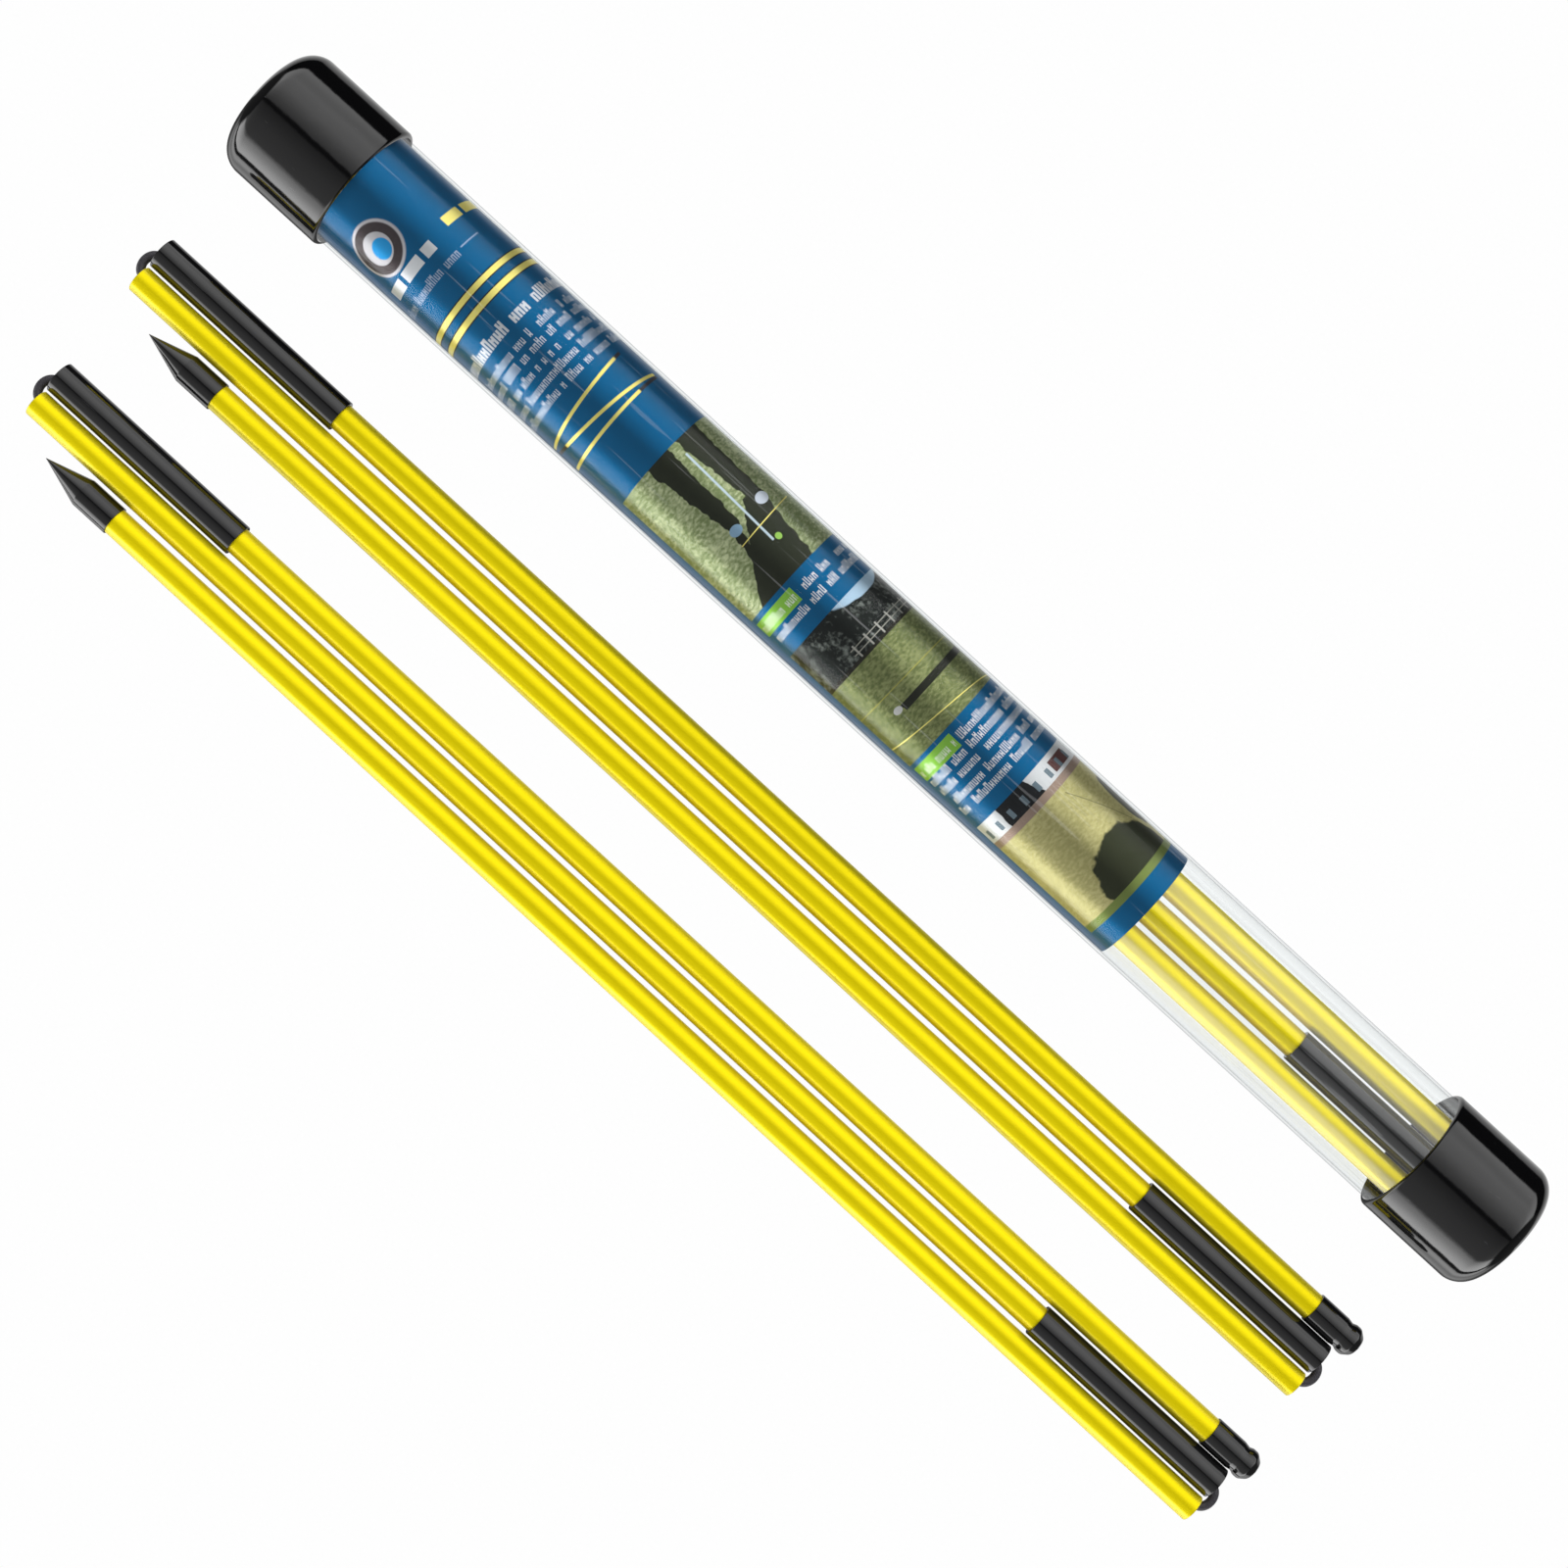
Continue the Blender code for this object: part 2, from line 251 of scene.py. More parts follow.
class Graph:
    """Short calls for building a node tree."""

    def __init__(self, tree):
        self.tree = tree
        tree.nodes.clear()

    def feed(self, socket, value):
        if isinstance(value, bpy.types.NodeSocket):
            self.tree.links.new(value, socket)
        else:
            socket.default_value = value

    def add(self, kind, inputs=None, **settings):
        node = self.tree.nodes.new(kind)
        for name, value in settings.items():
            setattr(node, name, value)
        for name, value in (inputs or {}).items():
            self.feed(node.inputs[name], value)
        return node

    def maths(self, operation, *values):
        inputs = dict(enumerate(values))
        return self.add("ShaderNodeMath", inputs, operation=operation).outputs[0]

    def mix(self, share, first, second, blend="MIX"):
        inputs = {0: share, 6: first, 7: second}
        return self.add("ShaderNodeMix", inputs, data_type="RGBA", blend_type=blend).outputs[2]

    def level(self, value, low, high):
        """A 0 to 1 value spread from low to high."""
        inputs = {"Value": value, "To Min": low, "To Max": high}
        return self.add("ShaderNodeMapRange", inputs).outputs[0]

    def step(self, value, low, high):
        """0 below low, 1 above high."""
        inputs = {"Value": value, "From Min": low, "From Max": high}
        return self.add("ShaderNodeMapRange", inputs, interpolation_type="SMOOTHSTEP").outputs[0]

    def place(self, stretch=(1, 1, 1)):
        """The piece's own coordinates, stretched."""
        coordinates = self.add("ShaderNodeTexCoord").outputs["Object"]
        inputs = {0: coordinates, 1: stretch}
        return self.add("ShaderNodeVectorMath", inputs, operation="MULTIPLY").outputs[0]

    def noise(self, vector, scale, detail=2.0):
        inputs = {"Vector": vector, "Scale": scale, "Detail": detail}
        return self.add("ShaderNodeTexNoise", inputs).outputs[0]

    def bump(self, height, distance):
        return self.add("ShaderNodeBump", {"Height": height, "Distance": distance}).outputs[0]

    def principled(self, colour, roughness, **extra):
        node = self.add("ShaderNodeBsdfPrincipled", {"Base Color": colour, "Roughness": roughness})
        for name, value in extra.items():
            self.feed(node.inputs[name.replace("_", " ").title().replace("Ior", "IOR")], value)
        return node.outputs[0]

    def surface(self, shader):
        self.add("ShaderNodeOutputMaterial", {"Surface": shader})


def new_material(name):
    material = bpy.data.materials.new(name)
    material.use_nodes = True
    return material, Graph(material.node_tree)


def scratches(graph, stretch, rarity):
    """Sparse thin marks, 0 to 1, drawn out along the axis that is stretched least."""
    marks = graph.noise(graph.place(stretch), 1.0, 1.0)
    return graph.step(marks, rarity, rarity + 0.05)


def turned_away(graph):
    """0 where a surface faces the eye, 1 where it is seen edge on."""
    return graph.add("ShaderNodeLayerWeight", {"Blend": 0.5}).outputs["Facing"]


def edge_gloss(graph, face_on, edge_on):
    """A gloss level that rises once a surface turns away from the eye."""
    return graph.level(graph.step(turned_away(graph), 0.18, 0.34), face_on, edge_on)


def glossy_black(graph, colour, roughness, height, depth):
    """Ends a black material's tree with a shader whose gloss rises towards the edges."""
    shader = graph.principled(
        colour, roughness, normal=graph.bump(height, depth),
        specular_ior_level=edge_gloss(graph, 0.46, 0.8),
    )
    graph.surface(shader)


# Materials

BRAID_RATE = 6500.0  # radians of weave per metre


def yellow_rod():
    """Pultruded rod with a satin yellow finish: fine lengthwise grain and faint handling marks."""
    material, graph = new_material("yellow_rod_satin")
    grain = graph.noise(graph.place((6, 900, 900)), 1.0, 3.0)
    patches = graph.noise(graph.place((30, 120, 120)), 1.0, 2.0)
    marks = scratches(graph, (60, 1500, 1500), 0.70)
    pale = graph.mix(patches, srgb(222, 204, 2), srgb(228, 210, 5))
    colour = graph.mix(graph.level(grain, 0, 0.14), pale, srgb(206, 187, 2))
    worn = graph.mix(graph.level(marks, 0, 0.10), colour, srgb(236, 224, 80))
    height = graph.maths("ADD", grain, graph.level(marks, 0, -0.6))
    shader = graph.principled(
        worn, graph.level(grain, 0.32, 0.38), normal=graph.bump(height, 0.0012 * MM),
        metallic=0.42, specular_ior_level=edge_gloss(graph, 0.08, 0.9),
    )
    graph.surface(shader)
    return material


def black_ferrule():
    """Glossy black tube with drawing lines and sparse scratches along it."""
    material, graph = new_material("black_ferrule_gloss")
    lines = graph.noise(graph.place((4, 1200, 1200)), 1.0, 3.0)
    marks = scratches(graph, (40, 1800, 1800), 0.72)
    colour = graph.mix(marks, srgb(14, 14, 15), srgb(44, 44, 46))
    glossy_black(graph, colour, graph.level(lines, 0.06, 0.13), lines, 0.004 * MM)
    return material


def black_moulded(name, roughest, peel):
    """Moulded black plastic with a faint orange peel and fine scuffs."""
    material, graph = new_material(name)
    ripple = graph.noise(graph.place(), 260.0, 2.0)
    fine = graph.noise(graph.place(), 2600.0, 2.0)
    scuffs = scratches(graph, (200, 1300, 1300), 0.76)
    colour = graph.mix(scuffs, srgb(6, 6, 7), srgb(40, 40, 42))
    wear = graph.maths("ADD", graph.level(fine, 0.05, roughest), graph.level(scuffs, 0, 0.1))
    height = graph.maths("ADD", ripple, graph.level(fine, 0, 0.06))
    glossy_black(graph, colour, wear, height, peel)
    return material


def black_rubber():
    """Dipped rubber: glossy, with a fine skin over faint lumps."""
    material, graph = new_material("black_rubber_cap")
    skin = graph.noise(graph.place(), 3200.0, 3.0)
    lumps = graph.noise(graph.place(), 420.0, 1.0)
    colour = graph.mix(skin, srgb(10, 10, 11), srgb(18, 18, 19))
    height = graph.maths("ADD", lumps, graph.level(skin, 0, 0.15))
    glossy_black(graph, colour, graph.level(skin, 0.06, 0.15), height, 0.02 * MM)
    return material


def braided_cord():
    """Elastic cord in a tight black braid: crossing ribs, with fuzz between them."""
    material, graph = new_material("black_elastic_cord")
    parts = graph.add("ShaderNodeSeparateXYZ", {0: graph.place()})
    x, y, z = parts.outputs
    side = graph.maths("ADD", y, z)
    ribs = []
    for lean in (1, -1):
        along = graph.maths("MULTIPLY", x, BRAID_RATE)
        phase = graph.maths("MULTIPLY_ADD", side, lean * BRAID_RATE, along)
        ribs.append(graph.maths("ABSOLUTE", graph.maths("SINE", phase)))
    weave = graph.maths("MAXIMUM", *ribs)
    fuzz = graph.noise(graph.place(), 5000.0, 3.0)
    colour = graph.mix(graph.maths("MULTIPLY", weave, fuzz), srgb(22, 21, 25), srgb(52, 48, 58))
    height = graph.maths("ADD", weave, graph.level(fuzz, 0, 0.4))
    shader = graph.principled(
        colour, graph.level(fuzz, 0.38, 0.55), normal=graph.bump(height, 0.05 * MM),
        sheen_weight=0.25, sheen_roughness=0.4,
    )
    graph.surface(shader)
    return material


def clear_plastic(insert_left, insert_right):
    """Thin clear tube: see-through, with a mirror gloss that grows towards its edges, and light haze.

    Where the insert lies against the wall, it takes away most of the gloss.
    """
    material, graph = new_material("clear_tube_plastic")
    facing = turned_away(graph)
    waves = graph.noise(graph.place((6, 40, 40)), 1.0, 1.0)
    marks = scratches(graph, (25, 700, 700), 0.69)
    normal = graph.bump(waves, 0.02 * MM)
    along = graph.add("ShaderNodeSeparateXYZ", {0: graph.place()}).outputs[0]
    middle, reach = (insert_left + insert_right) / 2, (insert_right - insert_left) / 2
    backed = graph.maths("COMPARE", along, middle, reach)
    free_gloss = graph.maths("MULTIPLY_ADD", graph.maths("POWER", facing, 5.0), 0.15, 0.038)
    backed_gloss = graph.maths("MULTIPLY", graph.maths("POWER", facing, 2.0), 0.10)
    free_share = graph.maths("MULTIPLY", graph.maths("SUBTRACT", 1.0, backed), free_gloss)
    gloss_share = graph.maths("MULTIPLY_ADD", backed, backed_gloss, free_share)
    tint = graph.mix(graph.maths("POWER", facing, 9.0), srgb(253, 254, 254), srgb(196, 199, 201))
    clear = graph.add("ShaderNodeBsdfTransparent", {"Color": tint}).outputs[0]
    gloss = graph.add("ShaderNodeBsdfAnisotropic", {"Roughness": 0.04, "Normal": normal})
    gloss.inputs["Color"].default_value = (1, 1, 1, 1)
    haze = graph.add("ShaderNodeBsdfDiffuse", {"Color": srgb(235, 236, 238)}).outputs[0]
    body = graph.add("ShaderNodeMixShader", {0: graph.level(marks, 0.004, 0.08), 1: clear, 2: haze})
    both = graph.add("ShaderNodeMixShader", {0: gloss_share, 1: body.outputs[0], 2: gloss.outputs[0]})
    graph.surface(both.outputs[0])
    return material


# The insert's print, made of plain shapes. Across is the angle in degrees, from the top towards +Y.

BLUE = srgb(9, 98, 147)
DEEP_BLUE = srgb(6, 88, 134)
WHITE = srgb(226, 228, 232)
STRIPE_YELLOW = srgb(255, 240, 132)
TAG_GREEN = srgb(140, 198, 76)
PANEL_LOW = -65.0
PANEL_HIGH = 95.0
INK_DEPTH = 0.68  # how bright the print is beside the plain colours


class Print(Graph):
    """A node tree that paints flat shapes one over another on the insert."""

    def __init__(self, tree, ground):
        super().__init__(tree)
        parts = self.add("ShaderNodeSeparateXYZ", {0: self.place()})
        self.along = self.maths("MULTIPLY", parts.outputs[0], 1 / MM)
        turn = self.maths("ARCTAN2", parts.outputs[1], parts.outputs[2])
        self.across = self.maths("DEGREES", turn)
        self.colour = ground

    def within(self, value, low, high):
        return self.maths("COMPARE", value, (low + high) / 2, (high - low) / 2)

    def box(self, left, right, low, high):
        """The share of a box, whose sides are along in millimetres and across in degrees."""
        inside_along = self.within(self.along, left, right)
        return self.maths("MULTIPLY", inside_along, self.within(self.across, low, high))

    def paint(self, share, colour):
        self.colour = self.mix(share, self.colour, colour)

    def line(self, start, end, width, colour):
        """A thin line between two (along, across) points, which runs mostly round the tube."""
        slope = (end[0] - start[0]) / (end[1] - start[1])
        moved = self.maths("MULTIPLY_ADD", self.across, -slope, self.along)
        place = start[0] - slope * start[1]
        near = self.within(moved, place - width / 2, place + width / 2)
        span = self.within(self.across, min(start[1], end[1]), max(start[1], end[1]))
        self.paint(self.maths("MULTIPLY", near, span), colour)

    def blob(self, middle, reach, rough=0.0, seed=0.0):
        """An oval patch round a (along, across) middle, with a ragged edge if it is rough."""
        dx = self.maths("DIVIDE", self.maths("SUBTRACT", self.along, middle[0]), reach[0])
        dy = self.maths("DIVIDE", self.maths("SUBTRACT", self.across, middle[1]), reach[1])
        far = self.maths("ADD", self.maths("MULTIPLY", dx, dx), self.maths("MULTIPLY", dy, dy))
        ragged = self.maths("MULTIPLY_ADD", self.noise(self.shifted(seed), 180.0, 4.0), rough, far)
        return self.maths("SUBTRACT", 1.0, self.step(ragged, 0.92 + rough / 2, 1.08 + rough / 2))

    def shifted(self, seed):
        """The piece's own coordinates, moved along so that two noises differ."""
        inputs = {0: self.place(), 1: (seed, 0, 0)}
        return self.add("ShaderNodeVectorMath", inputs, operation="ADD").outputs[0]

    def wedge(self, start, end, reaches, rough, seed):
        """A ragged tapering band between two (along, across) points, with its half width at each."""
        inputs = {"Value": self.along, "From Min": start[0], "From Max": end[0]}
        share = self.add("ShaderNodeMapRange", inputs).outputs[0]
        centre = self.level(share, start[1], end[1])
        off = self.maths("ABSOLUTE", self.maths("SUBTRACT", self.across, centre))
        ragged = self.maths("MULTIPLY_ADD", self.noise(self.shifted(seed), 320.0, 5.0), rough, off)
        spare = self.maths("SUBTRACT", self.level(share, *reaches), ragged)
        near = self.step(spare, -0.5 - rough / 2, 0.5 - rough / 2)
        ends = self.within(self.along, min(start[0], end[0]), max(start[0], end[0]))
        return self.maths("MULTIPLY", near, ends)

    def strokes(self, left, right, low, high, colour, pitch=4.4, weight=0.25):
        """A row of word-like groups of marks: upright strokes of two heights with cross bars, no letters."""
        cell = self.maths("DIVIDE", self.across, pitch)
        seat = self.add("ShaderNodeCombineXYZ", {0: self.maths("FLOOR", cell), 1: (left + right) / 2})
        dice = self.add("ShaderNodeTexWhiteNoise", {"Vector": seat.outputs[0]}).outputs["Color"]
        height, gap, bar = self.add("ShaderNodeSeparateXYZ", {0: dice}).outputs
        rise = self.maths("DIVIDE", self.maths("SUBTRACT", right, self.along), right - left)
        tall = self.level(self.maths("GREATER_THAN", height, 0.72), 0.70, 1.0)
        upright = self.maths("COMPARE", self.maths("FRACT", self.maths("MULTIPLY", cell, 2.0)), 0.5, weight)
        level = self.maths("MULTIPLY", bar, tall)
        crossing = self.maths("COMPARE", rise, level, 0.11)
        joined = self.maths("COMPARE", self.maths("FRACT", cell), 0.5, 0.36)
        shape = self.maths("MAXIMUM", upright, self.maths("MULTIPLY", crossing, joined))
        below = self.maths("LESS_THAN", rise, tall)
        kept = self.maths("MULTIPLY", below, self.maths("GREATER_THAN", gap, 0.15))
        share = self.maths("MULTIPLY", self.box(left, right, low, high), self.maths("MULTIPLY", shape, kept))
        self.paint(self.maths("MULTIPLY", share, 0.9), colour)


def print_emblem(sheet):
    """A plain round badge: a pale ring with a ball in it, and bars and a row of marks beside it."""
    for middle, reach, colour in (
        ((-173.0, -35.0), (8.0, 27.0), srgb(206, 202, 206)),
        ((-173.0, -35.0), (7.2, 24.3), srgb(74, 66, 68)),
        ((-173.0, -35.0), (4.6, 15.5), srgb(196, 194, 198)),
        ((-172.2, -32.0), (3.0, 10.0), srgb(40, 150, 214)),
    ):
        sheet.paint(sheet.blob(middle, reach), colour)
    for low, high in ((-66, -44), (-39, -14), (-9, 3)):
        sheet.paint(sheet.box(-164.3, -160.9, low, high), WHITE)
    for low, high in ((25, 47), (52, 84)):
        sheet.paint(sheet.box(-166.2, -163.2, low, high), STRIPE_YELLOW)
    sheet.strokes(-158.0, -155.2, -80, 14, srgb(170, 184, 206), 4.6)
    sheet.paint(sheet.box(-157.1, -156.7, 18, 42), srgb(150, 175, 205))


def print_stripes(sheet):
    """Two yellow rings with dark edges."""
    for left, right in ((-147.7, -146.1), (-143.3, -141.6)):
        sheet.paint(sheet.within(sheet.along, left - 0.35, right + 0.35), srgb(38, 40, 48))
        sheet.paint(sheet.within(sheet.along, left, right), STRIPE_YELLOW)


def print_notes(sheet):
    """A heading and five rows of marks, all round the tube."""
    sheet.strokes(-136.6, -132.6, -180, 180, WHITE, 7.2, 0.34)
    for left in (-130.0, -126.4, -122.3, -118.3, -114.3):
        sheet.strokes(left, left + 2.7, -180, 180, srgb(206, 214, 226))


def print_sticks(sheet):
    """A drawing of one stick half folded: three dark lines, each yellow but for one end."""
    for start, end, yellow in (
        ((-108.4, 52.0), (-104.7, -80.0), (42.0, -80.0)),
        ((-98.3, 66.0), (-102.9, -80.0), (66.0, -58.0)),
        ((-97.4, 66.0), (-96.6, -80.0), (34.0, -80.0)),
    ):
        sheet.line(start, end, 1.0, srgb(60, 60, 66))
        slope = (end[0] - start[0]) / (end[1] - start[1])
        first, last = [(start[0] + slope * (across - start[1]), across) for across in yellow]
        sheet.line(first, last, 0.95, STRIPE_YELLOW)


def grass(sheet, light, dark, seed):
    """Mown grass: soft patches, and short blades that run across the picture."""
    patches = sheet.noise(sheet.shifted(seed), 70.0, 3.0)
    blades = sheet.noise(sheet.place((1400, 700, 700)), 1.0, 4.0)
    mixed = sheet.maths("MULTIPLY_ADD", blades, 1.1, sheet.maths("MULTIPLY", patches, 0.5))
    return sheet.mix(sheet.step(mixed, 0.50, 1.0), light, dark)


def print_first_picture(sheet):
    """Bright grass with ragged shadows across it, a club shaft, a ball and a marking line."""
    area = sheet.box(-81.2, -35.0, PANEL_LOW, PANEL_HIGH)
    shade = srgb(46, 50, 38)
    ground = grass(sheet, srgb(196, 204, 160), srgb(124, 138, 92), 0.3)
    outside = sheet.colour
    sheet.colour = ground
    for start, end, reaches in (
        ((-81.2, 34.0), (-54.0, 36.0), (15.0, 8.0)),
        ((-58.0, 34.0), (-35.0, -6.0), (11.0, 36.0)),
        ((-81.2, -4.0), (-54.0, -1.0), (14.0, 6.0)),
        ((-54.0, -2.0), (-39.0, -16.0), (5.0, 1.0)),
    ):
        sheet.paint(sheet.wedge(start, end, reaches, 9.0, start[0]), shade)
    sheet.paint(sheet.blob((-54.8, 38.0), (1.7, 8.0)), srgb(206, 214, 226))
    sheet.paint(sheet.blob((-53.6, -3.0), (1.5, 6.5)), srgb(150, 186, 216))
    sheet.paint(sheet.blob((-44.6, 20.0), (1.0, 3.4)), srgb(150, 196, 90))
    shaft = sheet.wedge((-77.0, 18.0), (-44.8, 14.0), (1.1, 1.1), 0.0, 0.0)
    sheet.paint(shaft, srgb(196, 214, 224))
    sheet.line((-50.6, 66.0), (-49.6, -10.0), 0.3, STRIPE_YELLOW)
    sheet.colour = sheet.mix(area, outside, sheet.colour)


def print_second_picture(sheet):
    """Dark trees under a patch of sky, a rail fence, and grass with two marking lines."""
    area = sheet.box(-21.2, 21.8, PANEL_LOW, PANEL_HIGH)
    outside = sheet.colour
    sheet.colour = grass(sheet, srgb(154, 161, 108), srgb(104, 114, 70), 0.7)
    clumps = sheet.noise(sheet.shifted(0.9), 150.0, 2.0)
    leaves = sheet.maths("MULTIPLY_ADD", clumps, 0.9, sheet.noise(sheet.place(), 700.0, 8.0))
    trees = sheet.mix(sheet.step(leaves, 0.92, 1.30), srgb(34, 38, 36), srgb(132, 138, 132))
    sheet.paint(sheet.within(sheet.along, -40.0, -7.0), trees)
    sheet.paint(sheet.blob((-23.0, 42.0), (5.0, 42.0), 0.5, 0.1), srgb(176, 204, 226))
    sheet.paint(sheet.within(sheet.along, -7.2, -6.2), srgb(48, 46, 40))
    for rail in (-10.2, -8.6):
        sheet.paint(sheet.box(rail, rail + 0.3, -14, 80), srgb(160, 158, 148))
    for post in range(-10, 80, 15):
        sheet.paint(sheet.box(-10.9, -7.0, post, post + 1.8), srgb(176, 174, 166))
    sheet.paint(sheet.wedge((8.9, 30.0), (11.0, 30.0), (52.0, 46.0), 12.0, 2.0), srgb(44, 46, 38))
    sheet.line((20.6, 80.0), (15.4, -64.0), 0.3, STRIPE_YELLOW)
    sheet.line((5.2, 80.0), (4.2, -64.0), 0.18, srgb(190, 182, 84))
    sheet.paint(sheet.blob((9.4, -24.0), (1.0, 5.0)), srgb(206, 206, 204))
    sheet.colour = sheet.mix(area, outside, sheet.colour)


def print_third_picture(sheet):
    """A pale building at the edge of a green, with a tree's shadow on it."""
    area = sheet.box(45.8, 86.9, PANEL_LOW, PANEL_HIGH)
    outside = sheet.colour
    sheet.colour = grass(sheet, srgb(206, 198, 138), srgb(176, 170, 112), 1.1)
    shade = srgb(54, 58, 40)
    sheet.paint(sheet.blob((83.0, 24.0), (12.0, 44.0), 1.1, 0.4), shade)
    sheet.paint(sheet.blob((69.0, 76.0), (9.5, 13.0), 1.1, 0.8), srgb(60, 62, 44))
    sheet.paint(sheet.within(sheet.along, 84.6, 87.0), srgb(124, 140, 74))
    sheet.paint(sheet.within(sheet.along, 52.0, 54.2), srgb(160, 138, 124))
    sheet.paint(sheet.within(sheet.along, 44.0, 52.0), srgb(214, 216, 218))
    sheet.paint(sheet.wedge((45.8, -14.0), (52.0, -10.0), (18.0, 23.0), 5.0, 0.2), srgb(34, 36, 38))
    sheet.paint(sheet.box(47.4, 51.0, 34, 62), srgb(96, 62, 60))
    for pane in range(-60, 76, 17):
        sheet.paint(sheet.box(48.2, 51.0, pane, pane + 5), srgb(110, 126, 136))
    sheet.line((78.0, 64.0), (56.0, 24.0), 0.3, srgb(60, 58, 48))
    sheet.colour = sheet.mix(area, outside, sheet.colour)


def print_captions(sheet):
    """A green tag with rows of marks after it, in the blue bands between the pictures."""
    for tag, rows in ((-33.4, (-28.1,)), (23.1, (27.7, 31.1, 35.1, 38.7))):
        sheet.paint(sheet.box(tag, tag + 4.7, PANEL_LOW + 1.5, -8), TAG_GREEN)
        sheet.strokes(tag + 1.0, tag + 3.7, PANEL_LOW + 3, -10, srgb(226, 236, 214))
        sheet.strokes(tag + 1.0, tag + 3.7, -5, 180, WHITE)
        for row in rows:
            sheet.strokes(row, row + 2.7, PANEL_LOW + 3, 180, WHITE)


def printed_insert():
    """Coated card printed in blue, with pictures of grass, trees and a building, seen from outside."""
    material = bpy.data.materials.new("printed_insert_card")
    material.use_nodes = True
    sheet = Print(material.node_tree, BLUE)
    mottle = sheet.noise(sheet.place(), 160.0, 4.0)
    sheet.colour = sheet.mix(sheet.level(mottle, 0, 0.5), BLUE, DEEP_BLUE)
    print_emblem(sheet)
    print_stripes(sheet)
    print_notes(sheet)
    print_sticks(sheet)
    print_first_picture(sheet)
    print_second_picture(sheet)
    print_third_picture(sheet)
    print_captions(sheet)
    fibres = sheet.noise(sheet.place(), 1500.0, 2.0)
    inked = sheet.mix(1.0, sheet.colour, (*[INK_DEPTH] * 3, 1.0), "MULTIPLY")
    shader = sheet.principled(
        inked, sheet.level(fibres, 0.26, 0.36), normal=sheet.bump(mottle, 0.04 * MM),
        metallic=0.6, specular_ior_level=0.04,
    )
    sheet.surface(shader)
    return material


def plain_card():
    """The insert's unprinted side and its cut edges."""
    material, graph = new_material("plain_card")
    fibres = graph.noise(graph.place((400, 900, 900)), 1.0, 4.0)
    colour = graph.mix(fibres, srgb(226, 226, 224), srgb(242, 242, 240))
    graph.surface(graph.principled(colour, 0.6, normal=graph.bump(fibres, 0.02 * MM)))
    return material


def seamless_paper():
    """The floor: white studio paper with a trace of tooth, lit to white from behind."""
    material, graph = new_material("studio_paper")
    tooth = graph.noise(graph.place(), 900.0, 2.0)
    colour = graph.mix(tooth, srgb(253, 253, 253), srgb(255, 255, 255))
    graph.surface(graph.add("ShaderNodeEmission", {"Color": colour}).outputs[0])
    return material


# Pieces of a stick


def make_rod(node, material):
    """A hollow rod with eased ends."""
    left, right, centre, radius = spread(node, STICK_SIDES)
    outline = rounded([
        (right, radius, ROD_LIP),
        (left, radius, ROD_LIP),
        (left, ROD_BORE, ROD_LIP / 2),
        (right, ROD_BORE, ROD_LIP / 2),
    ])
    add_piece(node, turned(node, outline, STICK_STEPS, ring=True), centre, "yellow_rod", material)


def make_ferrule(node, rod, material):
    """A sleeve whose open half is a socket, and whose other half grips its rod."""
    left, right, centre, radius = spread(node, STICK_SIDES)
    rod_left, _, _, rod_radius = spread(rod, STICK_SIDES)
    mouth, grip = (left, right) if rod_left > left else (right, left)
    outward = math.copysign(1, grip - mouth)
    step = mouth + outward * SOCKET_DEPTH
    grip_bore = rod_radius + GRIP_GAP
    outline = rounded([
        (grip, radius, FERRULE_LIP),
        (mouth, radius, FERRULE_LIP),
        (mouth, FERRULE_BORE, FERRULE_LIP),
        (step, FERRULE_BORE),
        (step, grip_bore),
        (grip, grip_bore),
    ])
    add_piece(node, turned(node, outline, STICK_STEPS, ring=True), centre, "black_ferrule", material)


def make_tip(node, rod, material):
    """A cone with a blunt point, on a sleeve that grips the rod."""
    left, right, centre, radius = spread(node, STICK_SIDES)
    rod_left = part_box(rod)[0].x
    outline = rounded([
        (rod_left, 0),
        (rod_left, TIP_BORE),
        (right, TIP_BORE),
        (right, radius, FERRULE_LIP),
        (left + TIP_CONE, radius, TIP_SHOULDER),
        (left + TIP_POINT, TIP_POINT * TIP_POINT_SLOPE),
        (left, 0),
    ])
    mesh = turned(node, outline, STICK_STEPS)
    add_piece(node, mesh, centre, "black_tip", material)


def make_end_cap(node, rod, material):
    """A dipped sleeve with a soft waist and a round bulb over the rod's end."""
    left, right, centre, _ = spread(node, STICK_SIDES)
    radius = END_CAP_SLEEVE_RADIUS
    _, rod_right, _, rod_radius = spread(rod, STICK_SIDES)
    inner_end = rod_right + END_CAP_FLOOR
    shoulder = rod_right - END_CAP_SHOULDER
    waist = rod_right + END_CAP_WAIST
    bulb = waist + END_CAP_BULB_START
    belly = right - END_CAP_BULB * END_CAP_BELLY
    nose = right - END_CAP_NOSE
    outline = rounded([
        (inner_end, 0),
        (inner_end, rod_radius),
        (left, rod_radius),
        (left, radius, FERRULE_LIP),
        (shoulder, radius, END_CAP_SHOULDER_ROUNDING),
        (waist, radius - END_CAP_WAIST_DEPTH, END_CAP_WAIST_ROUNDING),
        (bulb, END_CAP_BULB_RADIUS, END_CAP_BULB_START_ROUNDING),
        (belly, END_CAP_BULB_RADIUS, END_CAP_BELLY_ROUNDING),
        (nose, END_CAP_BULB_RADIUS * END_CAP_NOSE_WIDTH, END_CAP_NOSE_ROUNDING),
        (right, 0),
    ])
    add_piece(node, turned(node, outline, STICK_STEPS), centre, "black_rubber", material)


